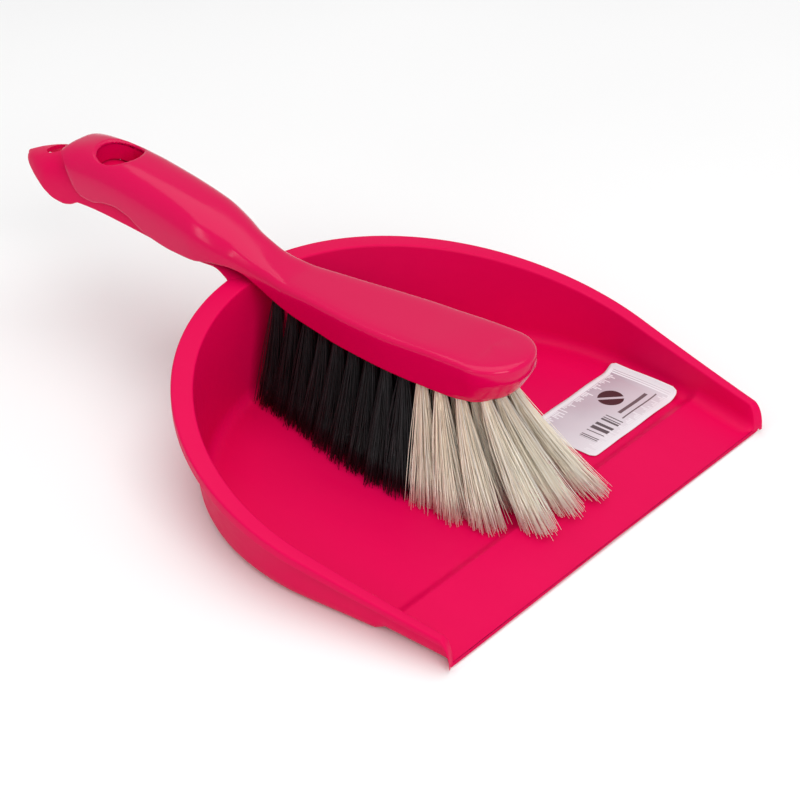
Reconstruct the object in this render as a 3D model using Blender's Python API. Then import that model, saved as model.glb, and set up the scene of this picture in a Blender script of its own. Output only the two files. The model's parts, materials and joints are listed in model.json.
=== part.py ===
"""Dust pan with a hand brush that rests over its handle.

The pan is one thin moulding: a D-shaped tray, whose rim rises from the lip to the back, and a
hollow handle behind it. The brush is a second moulding, a block with a hollow handle that drops over
the pan's handle. Its tufts stand in blind holes. Sizes are in millimetres, and become metres
as each mesh is made. Y runs from the lip to the handle, Z is up, and the origin is on the ground
under the middle of the set. Heights and places below are measured from the lip's front corners.
"""

import math

import bmesh
import bpy

MM = 0.001

# Tray
LIP_WIDTH = 230.0  # between the outer corners of the lip
TRAY_DEPTH = 215.6  # from the lip's corners to the back of the rim
SIDE_FLARE = math.radians(7.45)  # how far each straight side opens towards the back
RIM_FRONT = 14.2  # height of the rim behind the lip's ears
RIM_BACK = 60.3  # height of the rim at the back
RIM_SAG = 12.5  # how much the rim dips below a straight slope, times four
FLANGE_FRONT = 4.4  # width of the rim's flat top
FLANGE_BACK = 11.4
FLANGE_THICK = 2.0
SKIRT_FRONT = 0.8  # depth of the flange's turned-down outer edge
SKIRT_BACK = 3.2
SKIRT_THICK = 1.5
SKIRT_GAP = 0.7  # least gap between skirt and wall
EDGE_RADIUS = 1.0
WALL = 2.2
WALL_DRAFT = 0.05  # how far the wall leans in for each unit it drops
FLOOR = 2.2
FLOOR_FILLET = 7.4
FILLET_SHARE = 0.55  # most of a low wall's height that the fillet may take
LEAST_STEP = 0.1  # keeps neighbouring corners of the rim's section apart
CREST_Y = 33.9  # low ridge behind the lip
CREST_HEIGHT = 4.7
CREST_THICK = 1.9
RAMP_FOOT_Y = 39.3
LIP_THICK = 1.0
EAR_REACH = 2.7  # how far each side wall's round front end stands ahead of the lip
EAR_LENGTH = 5.2
EAR_HEIGHT = 3.4
EAR_TURN = math.radians(15.0)  # how much that end turns inwards

# Pan handle
HANDLE_REACH = 149.4  # from the back of the rim to the tip
GRIP_HALF = 15.0
GRIP_POWER = 2.6  # squareness of its rounded top, where 2 is an ellipse
GRIP_RISE = 16.0  # height of that rounded top
GRIP_WALL = 2.2
GRIP_END_LENGTH = 26.0  # narrowing tip, seen from above
GRIP_END_POWER = 1.6
ROOT_RADIUS = 15.0  # fillet between handle and rim, seen from above
ROOT_INSET = 8.0  # how far the handle's root reaches into the flange
PAN_HOLE_RADIUS = 5.5
PAN_HOLE_INSET = 21.0  # from the tip
CUT_DROP = 13.0  # how far each hollow's cutter reaches below the handle's edge

# The pan handle's crown and lower edge, as (part of its reach, height over the back of the rim)
PAN_CROWN = (
    (-0.06, -0.8), (0.0, 1.6), (0.05, 4.2), (0.11, 9.0), (0.17, 14.0), (0.25, 18.5), (0.36, 21.8),
    (0.5, 24.2), (0.68, 24.9), (0.8, 23.6), (0.88, 21.0), (0.95, 17.6), (1.0, 14.5),
)
PAN_EDGE = (
    (-0.06, -3.0), (0.02, -1.5), (0.09, 1.2), (0.25, 3.0), (0.45, 5.4), (0.6, 6.5), (0.67, 6.2),
    (0.71, 3.4), (0.75, 2.1), (0.79, 2.6), (0.83, 5.2), (0.87, 8.6), (0.92, 11.4), (1.0, 13.0),
)

# Brush
NOSE_INSET = 168.0  # from the back of the rim to the brush's nose
BLOCK_HALF = 20.0
NECK_HALF = 12.3
NOSE_RADIUS = 20.0
NOSE_RISE = 16.0  # how far the underside sweeps up at the nose
NOSE_RISE_LENGTH = 10.5
FOOT_HALF = 18.6  # the underside's own round front, behind the sweep
FOOT_RADIUS = 18.0
FOOT_LEAST = 1.5
BRISTLE_LENGTH = 50.0  # from the block's underside to the tips
TIP_CLEARANCE = 0.4
NEST_CLEARANCE = 0.6  # between pan handle and brush handle
STOCK_WALL = 2.2
STOCK_END = 0.759  # end of the brush handle, as a part of the pan handle's reach
HOLLOW_START = -8.0  # front of the brush handle's hollow, from the back of the rim
NECK_INSET = 18.0  # from the back of the rim to the brush's narrowest place
BRUSH_HOLE_RADIUS = 11.5
BRUSH_HOLE_INSET = 31.0  # from the brush handle's end

# The block's top and underside, as (distance from the nose, height over the bristles' roots)
BLOCK_TOP = ((0.0, 21.2), (32.0, 20.4), (60.0, 18.5), (100.0, 16.8), (132.0, 16.3))
BLOCK_UNDERSIDE = ((100.0, 0.0), (125.0, 2.0), (142.0, 5.6), (152.0, 9.2))
# The brush handle's crown and lower edge, in the pan handle's terms
STOCK_CROWN = (
    (-0.158, 10.2), (-0.104, 12.0), (-0.044, 15.4), (0.029, 20.2), (0.096, 24.4), (0.163, 27.7),
    (0.264, 31.0), (0.364, 33.4), (0.465, 35.2), (0.565, 36.0), (0.652, 35.4), (0.72, 33.6),
    (0.745, 32.4), (STOCK_END, 30.8),
)
STOCK_EDGE = (
    (-0.058, 4.2), (0.0, 5.4), (0.05, 5.6), (0.13, 3.9), (0.217, 4.2), (0.297, 5.9), (0.355, 8.6),
    (0.415, 13.2), (0.478, 15.0), (0.531, 14.2), (0.578, 12.4), (0.625, 13.0), (0.66, 16.2),
    (0.69, 22.5), (0.72, 27.4), (STOCK_END, 29.6),
)

# Tufts
TUFT_RADIUS = 2.1
HOLE_CLEARANCE = 0.3
HOLE_DEPTH = 8.0
EDGE_MARGIN = 5.4  # from the block's side to the outer row of holes
COLUMN_PITCH = 10.4
COLUMNS = 13
FIRST_COLUMN = 16.5  # from the nose to the first column of holes
LAST_CREAM_COLUMN = 3
ROW_SPREAD = 2.25  # how much wider the tips stand than the holes
FRONT_LEAN = 36.0  # how far the first column's tips lean forward
LEAN_REACH = 34.0  # distance over which that lean fades
WHOLE_LEAN = 3.0  # lean added to every column, fading to none at the last
BUNDLE_WAIST = 0.35  # part of the way down at which a bundle is halfway to its full spread
TIP_FILL = 0.44  # half depth of a tip, as a part of the room to the next column
TIP_FILL_ACROSS = 0.9  # half width of a tip, as a part of the outer row's margin

# Paper label on the tray's floor
LABEL_LENGTH = 68.0
LABEL_WIDTH = 39.5
LABEL_START = 44.0  # from the tray's middle
LABEL_GAP = 0.3
LABEL_THICK = 0.35
LABEL_FRONT_Y = 42.0
LABEL_CURL = math.radians(58.0)  # how steeply its outer end climbs the wall
LABEL_CURL_INSET = 2.7  # how far before the wall's fillet it starts to climb
LABEL_CURL_RADIUS = 8.4

# Facets
ARC_STATIONS = 30
ARCH_POINTS = 12
FILLET_POINTS = 3
HOLE_SIDES = 10
TUFT_SIDES = 8
LABEL_STEPS = 10
SHARP = math.radians(35.0)  # edges steeper than this stay crisp

PINK = (0.80, 0.002, 0.085)
DEEP_PINK = (0.74, 0.001, 0.075)
BLACK = (0.012, 0.011, 0.012)
CREAM = (0.71, 0.60, 0.40)
PAPER = (0.62, 0.57, 0.62)

MIDDLE_Y = (TRAY_DEPTH + HANDLE_REACH - EAR_REACH) / 2.0
SIN_FLARE = math.sin(SIDE_FLARE)
COS_FLARE = math.cos(SIDE_FLARE)
RIM_RADIUS = (LIP_WIDTH / 2.0 * COS_FLARE + TRAY_DEPTH * SIN_FLARE) / (1.0 + SIN_FLARE)
RIM_CENTRE_Y = TRAY_DEPTH - RIM_RADIUS
# The root's fillet touches both the rim's outer edge and the handle's side
ROOT_REACH = math.sqrt((RIM_RADIUS + ROOT_RADIUS) ** 2 - (GRIP_HALF + ROOT_RADIUS) ** 2)
ROOT_Y = RIM_CENTRE_Y + ROOT_REACH


def curve(points, at):
    """Height of a smooth line through (place, height) points, without overshoot between them."""
    if at <= points[0][0]:
        return points[0][1]
    if at >= points[-1][0]:
        return points[-1][1]
    slopes = [(b[1] - a[1]) / (b[0] - a[0]) for a, b in zip(points, points[1:])]
    tangents = [slopes[0]]
    for before, after in zip(slopes, slopes[1:]):
        same_way = before * after > 0.0
        tangents.append(2.0 * before * after / (before + after) if same_way else 0.0)
    tangents.append(slopes[-1])
    i = max(k for k, point in enumerate(points[:-1]) if point[0] <= at)
    (x0, z0), (x1, z1) = points[i], points[i + 1]
    span = x1 - x0
    t = (at - x0) / span
    return (
        z0 * (1 + 2 * t) * (1 - t) ** 2
        + tangents[i] * span * t * (1 - t) ** 2
        + z1 * t * t * (3 - 2 * t)
        + tangents[i + 1] * span * t * t * (t - 1)
    )


def straight(points, at):
    """Height of a line of straight stretches through (place, height) points."""
    for (x0, z0), (x1, z1) in zip(points, points[1:]):
        if at <= x1:
            return z0 + (z1 - z0) * (at - x0) / (x1 - x0)
    return points[-1][1]


def plastic(name, colour, roughness):
    """A Principled material of one colour."""
    material = bpy.data.materials.new(name)
    material.use_nodes = True
    shader = material.node_tree.nodes["Principled BSDF"]
    shader.inputs["Base Color"].default_value = (*colour, 1.0)
    shader.inputs["Roughness"].default_value = roughness
    shader.inputs["Metallic"].default_value = 0.0
    material.diffuse_color = (*colour, 1.0)
    return material


def placed(bm, name, material=None, parent=None):
    """Turns a millimetre bmesh into an object in the row's frame: a helper if it has no material."""
    bmesh.ops.recalc_face_normals(bm, faces=bm.faces)
    bmesh.ops.translate(bm, verts=bm.verts, vec=(0.0, -MIDDLE_Y, 0.0))
    bmesh.ops.scale(bm, verts=bm.verts, vec=(MM, MM, MM))
    mesh = bpy.data.meshes.new(name)
    bm.to_mesh(mesh)
    bm.free()
    mesh.shade_smooth()
    mesh.set_sharp_from_angle(angle=SHARP)
    piece = bpy.data.objects.new(name, mesh)
    bpy.context.scene.collection.objects.link(piece)
    piece.parent = parent
    if material is None:
        piece.hide_render = True
        piece.display_type = "WIRE"
    else:
        mesh.materials.append(material)
    return piece


def boolean(piece, helper, operation):
    """Joins or cuts a piece with a helper object."""
    modifier = piece.modifiers.new(helper.name, "BOOLEAN")
    modifier.operation = operation
    modifier.solver = "EXACT"
    modifier.object = helper


def skin(bm, rows, closed):
    """Quads between rows of vertices. A closed row joins its last vertex to its first."""
    for lower, upper in zip(rows, rows[1:]):
        count = len(lower)
        for i in range(count if closed else count - 1):
            j = (i + 1) % count
            bm.faces.new((lower[i], lower[j], upper[j], upper[i]))


def loft(sections):
    """A closed solid through closed sections, with a flat cap at each end."""
    bm = bmesh.new()
    rows = [[bm.verts.new(point) for point in section] for section in sections]
    skin(bm, rows, closed=True)
    bm.faces.new(rows[0])
    bm.faces.new(rows[-1])
    return bm


def cylinder(bm, centre, radius, bottom, top, sides):
    """Adds an upright cylinder to a bmesh."""
    made = bmesh.ops.create_cone(
        bm, cap_ends=True, segments=sides, radius1=radius, radius2=radius, depth=top - bottom
    )
    middle = (centre[0], centre[1], (top + bottom) / 2.0)
    bmesh.ops.translate(bm, verts=made["verts"], vec=middle)


# Tray --------------------------------------------------------------------------------------------


def rim_height(y):
    """Height of the rim's top where its outer edge is at y."""
    t = max(y, 0.0) / TRAY_DEPTH
    height = RIM_FRONT + (RIM_BACK - RIM_FRONT) * t - RIM_SAG * t * (1.0 - t)
    ahead = (EAR_LENGTH - EAR_REACH - y) / EAR_LENGTH
    if ahead > 0.0:
        height = EAR_HEIGHT + (height - EAR_HEIGHT) * math.sqrt(max(0.0, 1.0 - ahead**2))
    return height


def flange_width(y):
    return FLANGE_FRONT + (FLANGE_BACK - FLANGE_FRONT) * max(y, 0.0) / TRAY_DEPTH


def skirt_depth(y):
    return SKIRT_FRONT + (SKIRT_BACK - SKIRT_FRONT) * min(1.0, 2.0 * max(y, 0.0) / TRAY_DEPTH)


def floor_top(y):
    """Height of the floor's upper face: flat, then the ridge, then the slope to the lip."""
    return straight(((0.0, LIP_THICK), (CREST_Y, CREST_HEIGHT), (RAMP_FOOT_Y, FLOOR)), y)


def floor_bottom(y):
    """Height of the floor's lower face."""
    crest = CREST_HEIGHT - CREST_THICK
    return straight(((0.0, 0.0), (CREST_Y, crest), (RAMP_FOOT_Y, 0.0)), y)


def floor_half(y):
    """Half width of the flat floor at y, up to the foot of the wall's fillet."""
    inset = flange_width(y) + WALL_DRAFT * rim_height(y) + FLOOR_FILLET
    back = y - RIM_CENTRE_Y
    if back <= -RIM_RADIUS * SIN_FLARE:
        return LIP_WIDTH / 2.0 + y * math.tan(SIDE_FLARE) - inset / COS_FLARE
    return math.sqrt(max(0.0, (RIM_RADIUS - inset) ** 2 - back**2))


def rim_stations():
    """Half of the rim's outer edge, from lip to back: (x, y, inward x, inward y)."""
    half = LIP_WIDTH / 2.0
    straight_end = RIM_CENTRE_Y - RIM_RADIUS * SIN_FLARE
    floor_inset = FLANGE_FRONT + FLOOR_FILLET
    crest = CREST_Y - floor_inset * SIN_FLARE
    foot = RAMP_FOOT_Y - floor_inset * SIN_FLARE
    ear = [EAR_LENGTH * share - EAR_REACH for share in (0.0, 0.06, 0.25, 0.55, 1.0)]
    places = ear + [(ear[-1] + crest) / 2.0, crest, foot, (foot + straight_end) / 2.0]
    stations = []
    for y in places:
        turn = SIDE_FLARE + EAR_TURN * max(0.0, (ear[-1] - y) / EAR_LENGTH)
        x = half + y * math.tan(SIDE_FLARE)
        stations.append((x, y, -math.cos(turn), math.sin(turn)))
    quarter = math.pi / 2.0 + SIDE_FLARE
    for i in range(ARC_STATIONS // 2 + 1):
        turn = -SIDE_FLARE + quarter * i / (ARC_STATIONS // 2)
        x, y = math.cos(turn), math.sin(turn)
        stations.append((RIM_RADIUS * x, RIM_CENTRE_Y + RIM_RADIUS * y, -x, -y))
    return stations


def tray_section(y, inward_y):
    """Section across the rim as (inset, height), from the floor's top round to its underside."""
    rim = rim_height(y)
    flange = flange_width(y)
    edge = min(EDGE_RADIUS, FLANGE_THICK / 2.0)
    foot_y = y + (flange + FLOOR_FILLET) * inward_y
    top, bottom = (floor_top(foot_y), floor_bottom(foot_y)) if y < RAMP_FOOT_Y else (FLOOR, 0.0)
    fillet = min(FLOOR_FILLET, (rim - top) * FILLET_SHARE)
    foot = flange + WALL_DRAFT * (rim - top) + fillet
    turns = [math.pi / 2.0 * i / FILLET_POINTS for i in range(FILLET_POINTS + 1)]
    points = [(foot - fillet * math.sin(t), top + fillet * (1.0 - math.cos(t))) for t in turns]
    bevel = edge * (1.0 - math.cos(math.pi / 4.0))
    points += [(flange, rim - edge), (flange - edge, rim)]
    points += [(edge, rim), (bevel, rim - bevel), (0.0, rim - edge)]
    skirt = max(rim - FLANGE_THICK - skirt_depth(y), bottom + 2.0 * LEAST_STEP)
    under = max(rim - FLANGE_THICK, skirt + LEAST_STEP)
    wall_outer = max(flange - WALL, SKIRT_THICK + SKIRT_GAP)
    points += [(0.0, skirt), (SKIRT_THICK, skirt), (SKIRT_THICK, under), (wall_outer, under)]
    outer_fillet = min(fillet + top - bottom, (under - bottom) * (1.0 - LEAST_STEP))
    draft = WALL_DRAFT * (under - bottom)
    for turn in turns[:0:-1]:
        inset = wall_outer + draft + outer_fillet * (1.0 - math.sin(turn))
        points.append((min(inset, foot), bottom + outer_fillet * (1.0 - math.cos(turn))))
    return points + [(foot, bottom)]


def tray():
    """The tray as one closed shell: rim, walls and floor."""
    bm = bmesh.new()
    left, right = [], []
    for x, y, inward_x, inward_y in rim_stations():
        section = tray_section(y, inward_y)
        on_axis = abs(x) < 1e-6
        row = [
            bm.verts.new((0.0 if on_axis else x + u * inward_x, y + u * inward_y, z))
            for u, z in section
        ]
        right.append(row)
        mirrored = row if on_axis else [bm.verts.new((-v.co.x, v.co.y, v.co.z)) for v in row]
        left.append(mirrored)
    skin(bm, right, closed=False)
    skin(bm, left, closed=False)
    for end in (0, -1):
        for i in range(len(right) - 2):
            bm.faces.new((left[i][end], right[i][end], right[i + 1][end], left[i + 1][end]))
        bm.faces.new((left[-2][end], right[-2][end], right[-1][end]))
    bm.faces.new(right[0])
    bm.faces.new(left[0])
    bm.faces.new((left[0][0], right[0][0], right[0][-1], left[0][-1]))
    return bm


# Handles -----------------------------------------------------------------------------------------


def along(points):
    """(part of the pan handle's reach, height over the rim) points as (y, height) points."""
    return [(TRAY_DEPTH + part * HANDLE_REACH, RIM_BACK + height) for part, height in points]


def arch(half, foot, crown, base, power, rise):
    """A section with a rounded top, as (x, z) from one lower edge to the other.

    Its sides run straight from foot, the half width at the base, to half, where the top starts.
    """
    spring = max(base + 0.3, crown - rise)
    points = [(-foot, base)]
    for i in range(ARCH_POINTS + 1):
        turn = math.pi * (1.0 - i / ARCH_POINTS)
        across, up = math.cos(turn), math.sin(turn)
        x = half * math.copysign(abs(across) ** (2.0 / power), across)
        points.append((x, spring + (crown - spring) * max(up, 0.0) ** (2.0 / power)))
    points.append((foot, base))
    return points


def pan_grip_half(y):
    """Half width of the pan's handle: a fillet at the rim, straight sides and a rounded tip."""
    tip = TRAY_DEPTH + HANDLE_REACH
    if y < ROOT_Y:
        reach = min(ROOT_Y - y, ROOT_RADIUS * (ROOT_Y - RIM_CENTRE_Y) / (RIM_RADIUS + ROOT_RADIUS))
        return GRIP_HALF + ROOT_RADIUS - math.sqrt(ROOT_RADIUS**2 - reach**2)
    end = max(0.0, (y - tip + GRIP_END_LENGTH) / GRIP_END_LENGTH)
    return GRIP_HALF * max(0.05, 1.0 - end**GRIP_END_POWER) ** (1.0 / GRIP_END_POWER)


def spread(start, end, count, bunch):
    """Places from start to end, closer together towards the end when bunch is above 1."""
    return [start + (end - start) * (1.0 - (1.0 - i / count) ** bunch) for i in range(count + 1)]


def handle_section(y, inset, drop):
    """Section of the pan's handle, inset by a wall, its lower edge lowered by drop."""
    half = pan_grip_half(y) - inset
    crown = curve(along(PAN_CROWN), y) - inset
    edge = min(curve(along(PAN_EDGE), y), crown + inset - 1.0) - drop
    return [(x, y, z) for x, z in arch(half, half, crown, edge, GRIP_POWER, GRIP_RISE)]


def pan_handle():
    """Helpers for the pan's handle: the outer form, and the hollow under it."""
    start = TRAY_DEPTH - ROOT_INSET
    tip = TRAY_DEPTH + HANDLE_REACH
    outer = spread(start, tip, 22, 1.25)
    form = placed(loft([handle_section(y, 0.0, 0.0) for y in outer]), "grip_form")
    hollow_start = (TRAY_DEPTH + ROOT_Y) / 2.0
    inner = spread(hollow_start, tip - 2.0 * GRIP_WALL, 16, 1.25)
    hollow = [handle_section(y, GRIP_WALL, CUT_DROP) for y in inner]
    boolean(form, placed(loft(hollow), "grip_hollow"), "DIFFERENCE")
    return form


# Brush -------------------------------------------------------------------------------------------

NOSE_Y = TRAY_DEPTH - NOSE_INSET
STOCK_END_Y = TRAY_DEPTH + STOCK_END * HANDLE_REACH
BLOCK_BASE = FLOOR + TIP_CLEARANCE + BRISTLE_LENGTH
NECK_Y = TRAY_DEPTH - NECK_INSET
NESTED_HALF = GRIP_HALF + NEST_CLEARANCE + STOCK_WALL
TOP_LINE = [(NOSE_Y + back, BLOCK_BASE + height) for back, height in BLOCK_TOP] + along(STOCK_CROWN)
EDGE_LINE = [(NOSE_Y + back, BLOCK_BASE + height) for back, height in BLOCK_UNDERSIDE]
EDGE_LINE += along(STOCK_EDGE)
STOCK_HALF = [
    (NOSE_Y + NOSE_RADIUS, BLOCK_HALF),
    (NOSE_Y + 62.0, BLOCK_HALF),
    (NOSE_Y + 88.0, BLOCK_HALF - 1.6),
    (NOSE_Y + 110.0, BLOCK_HALF - 4.2),
    (NOSE_Y + 130.0, NECK_HALF + 1.6),
    (NECK_Y, NECK_HALF),
    (TRAY_DEPTH - 4.0, NECK_HALF + 1.0),
    (TRAY_DEPTH + 0.07 * HANDLE_REACH, NESTED_HALF - 1.4),
    (TRAY_DEPTH + 0.15 * HANDLE_REACH, NESTED_HALF),
    (TRAY_DEPTH + 0.64 * HANDLE_REACH, NESTED_HALF),
    (TRAY_DEPTH + 0.71 * HANDLE_REACH, NESTED_HALF - 1.4),
    (TRAY_DEPTH + 0.745 * HANDLE_REACH, NESTED_HALF - 4.4),
    (STOCK_END_Y, NESTED_HALF - 7.5),
]
STOCK_POWER = [(NOSE_Y, 7.0), (NOSE_Y + 110.0, 6.0), (NECK_Y, 3.4), (TRAY_DEPTH, 2.6)]
STOCK_RISE = [(NOSE_Y, 7.0), (NOSE_Y + 110.0, 8.0), (NECK_Y, 12.0), (TRAY_DEPTH + 20.0, 19.0)]


def stock_half(y):
    """Half width of the brush: a round nose, the block, the neck and the handle."""
    ahead = NOSE_Y + NOSE_RADIUS - y
    if ahead > 0.0:
        share = min(ahead / NOSE_RADIUS, 0.995)
        return BLOCK_HALF * math.sqrt(1.0 - share * share)
    return curve(STOCK_HALF, y)


def stock_foot(y):
    """Half width of the brush's underside, whose round front lies behind the nose."""
    half = stock_half(y)
    ahead = (NOSE_Y + NOSE_RISE_LENGTH + FOOT_RADIUS - y) / FOOT_RADIUS
    if ahead <= 0.0:
        return half
    return min(half, max(FOOT_LEAST, FOOT_HALF * math.sqrt(max(0.0, 1.0 - ahead**2))))


def stock_edge(y):
    """Height of the brush's lower edge."""
    bow = max(0.0, (NOSE_Y + NOSE_RISE_LENGTH - y) / NOSE_RISE_LENGTH)
    if bow > 0.0:
        return BLOCK_BASE + NOSE_RISE * bow**1.5
    return curve(EDGE_LINE, y)


def stock_section(y, inset, drop):
    """Section of the brush, inset by a wall, its lower edge lowered by drop."""
    crown = curve(TOP_LINE, y) - inset
    edge = min(stock_edge(y), crown + inset - 2.0) - drop
    half, foot = stock_half(y) - inset, stock_foot(y) - inset
    outline = arch(half, foot, crown, edge, curve(STOCK_POWER, y), curve(STOCK_RISE, y))
    return [(x, y, z) for x, z in outline]


def tuft_columns():
    """Places of the holes in the block's underside, column by column from the nose."""
    places = []
    for column in range(COLUMNS):
        y = NOSE_Y + FIRST_COLUMN + column * COLUMN_PITCH
        outer = stock_foot(y) - EDGE_MARGIN
        rows = 4 if outer > 11.5 else 3 if outer > 8.0 else 2
        for row in range(rows):
            places.append((column, row, outer * (2.0 * row / (rows - 1) - 1.0), y))
    return places


def brush_stock(material, parent):
    """The block and handle, with the handle's hollow, the hanging hole and the tuft holes cut."""
    nose = spread(NOSE_Y + NOSE_RADIUS, NOSE_Y, 8, 1.9)[::-1]
    block = spread(NOSE_Y + NOSE_RADIUS, NECK_Y, 9, 1.0)[1:]
    handle = spread(NECK_Y, STOCK_END_Y, 24, 1.15)[1:]
    sections = [stock_section(y, 0.0, 0.0) for y in nose + block + handle]
    stock = placed(loft(sections), "brush_stock", material, parent)
    start = TRAY_DEPTH + HOLLOW_START
    inner = spread(start, STOCK_END_Y - 2.0 * STOCK_WALL, 18, 1.15)
    hollow = loft([stock_section(y, STOCK_WALL, CUT_DROP) for y in inner])
    boolean(stock, placed(hollow, "stock_hollow"), "DIFFERENCE")
    hole = bmesh.new()
    centre = (0.0, STOCK_END_Y - BRUSH_HOLE_INSET)
    top = curve(TOP_LINE, centre[1]) + CUT_DROP
    cylinder(hole, centre, BRUSH_HOLE_RADIUS, top - 2.0 * CUT_DROP, top, 32)
    boolean(stock, placed(hole, "stock_hanging_hole"), "DIFFERENCE")
    holes = bmesh.new()
    for _, _, x, y in tuft_columns():
        base = stock_edge(y)
        radius = TUFT_RADIUS + HOLE_CLEARANCE
        cylinder(holes, (x, y), radius, base - HOLE_DEPTH, base + HOLE_DEPTH, HOLE_SIDES)
    boolean(stock, placed(holes, "tuft_holes"), "DIFFERENCE")
    return stock


def tip_place(column, x, y):
    """Where a tuft's tip stands: spread sideways, and leaning forward more towards the nose."""
    back = column * COLUMN_PITCH
    lean = FRONT_LEAN * math.exp(-back / LEAN_REACH) + WHOLE_LEAN * (1.0 - column / (COLUMNS - 1))
    return x * ROW_SPREAD, y - lean


def ring(centre_x, centre_y, height, radius_x, radius_y):
    turns = [2.0 * math.pi * (i + 0.5) / TUFT_SIDES for i in range(TUFT_SIDES)]
    return [
        (centre_x + radius_x * math.cos(t), centre_y + radius_y * math.sin(t), height)
        for t in turns
    ]


def tuft(name, column, x, y, material, parent):
    """One bundle of bristles, straight in its hole and spreading below the block."""
    base = stock_edge(y)
    tip_x, tip_y = tip_place(column, x, y)
    ahead = tip_place(column + 1, x, y + COLUMN_PITCH)[1] - tip_y
    tip_ry = TIP_FILL * min(ahead, COLUMN_PITCH * 1.5)
    tip_rx = TIP_FILL_ACROSS * EDGE_MARGIN
    spots = (tip_y - tip_ry, tip_y, tip_y + tip_ry, CREST_Y)
    near_crest = [floor_top(spot) for spot in spots if abs(spot - tip_y) <= tip_ry + 1e-6]
    tip_z = max(near_crest) + TIP_CLEARANCE
    mid_x = x + (tip_x - x) * BUNDLE_WAIST
    mid_y = y + (tip_y - y) * BUNDLE_WAIST
    mid_z = base - (base - tip_z) * BUNDLE_WAIST
    bm = loft([
        ring(x, y, base + HOLE_DEPTH - HOLE_CLEARANCE, TUFT_RADIUS, TUFT_RADIUS),
        ring(x, y, base - HOLE_CLEARANCE, TUFT_RADIUS, TUFT_RADIUS),
        ring(mid_x, mid_y, mid_z, (TUFT_RADIUS + tip_rx) / 2.0, (TUFT_RADIUS + tip_ry) / 2.0),
        ring(tip_x, tip_y, tip_z, tip_rx, tip_ry),
    ])
    return placed(bm, name, material, parent)


# Label -------------------------------------------------------------------------------------------


def paper_label(material, parent):
    """A thin sheet on the floor, whose outer end climbs the fillet of the side wall."""
    back = LABEL_FRONT_Y + LABEL_WIDTH
    wall_foot = min(floor_half(LABEL_FRONT_Y), floor_half(back))
    flat = wall_foot - LABEL_CURL_INSET - LABEL_START
    bend = LABEL_CURL_RADIUS
    sections = []
    for step in range(LABEL_STEPS + 1):
        run = LABEL_LENGTH * step / LABEL_STEPS
        turn = min(max(0.0, (run - flat) / bend), LABEL_CURL)
        curl = max(0.0, run - flat - bend * turn)
        tilt, level = math.sin(turn), math.cos(turn)
        x = LABEL_START + min(run, flat) + bend * tilt + curl * level
        z = FLOOR + LABEL_GAP + bend * (1.0 - level) + curl * tilt
        up_x, up_z = x - tilt * LABEL_THICK, z + level * LABEL_THICK
        sections.append([
            (x, LABEL_FRONT_Y, z), (x, back, z), (up_x, back, up_z), (up_x, LABEL_FRONT_Y, up_z)
        ])
    return placed(loft(sections), "paper_label", material, parent)


# Assembly ----------------------------------------------------------------------------------------


def dustpan(material, parent):
    """The pan: tray and handle joined, with the hanging hole cut through the handle's tip."""
    pan = placed(tray(), "dustpan", material, parent)
    boolean(pan, pan_handle(), "UNION")
    hole = bmesh.new()
    centre = (0.0, TRAY_DEPTH + HANDLE_REACH - PAN_HOLE_INSET)
    top = curve(along(PAN_CROWN), centre[1]) + CUT_DROP
    cylinder(hole, centre, PAN_HOLE_RADIUS, top - 2.0 * CUT_DROP, top, 24)
    boolean(pan, placed(hole, "pan_hanging_hole"), "DIFFERENCE")
    return pan


def axis_empty(name):
    empty = bpy.data.objects.new(name, None)
    bpy.context.scene.collection.objects.link(empty)
    return empty


def main():
    for old in list(bpy.data.objects):
        bpy.data.objects.remove(old, do_unlink=True)
    pan_body = axis_empty("pan_body")
    brush_body = axis_empty("brush_lift_axis")
    black = plastic("black_bristle", BLACK, 0.45)
    cream = plastic("cream_bristle", CREAM, 0.5)
    dustpan(plastic("pan_plastic", DEEP_PINK, 0.38), pan_body)
    paper_label(plastic("label_paper", PAPER, 0.6), pan_body)
    brush_stock(plastic("brush_plastic", PINK, 0.18), brush_body)
    for column, row, x, y in tuft_columns():
        name = f"tuft_{column + 1:02d}_{row + 1}"
        fibre = cream if column <= LAST_CREAM_COLUMN else black
        tuft(name, column, x, y, fibre, brush_body)


main()
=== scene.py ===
"""Looks of a dust pan and brush set: fine mouldings, loose bristles and a printed label.

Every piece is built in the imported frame's own place and rides on its body. Sizes are in
millimetres, measured from the lip's corners, and become metres when a mesh is seated.
"""

import bisect
import json
import logging
import math
import random
from collections.abc import Callable, Iterable, Sequence
from dataclasses import dataclass, field
from enum import Enum
from functools import cached_property
from itertools import chain, pairwise

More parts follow.
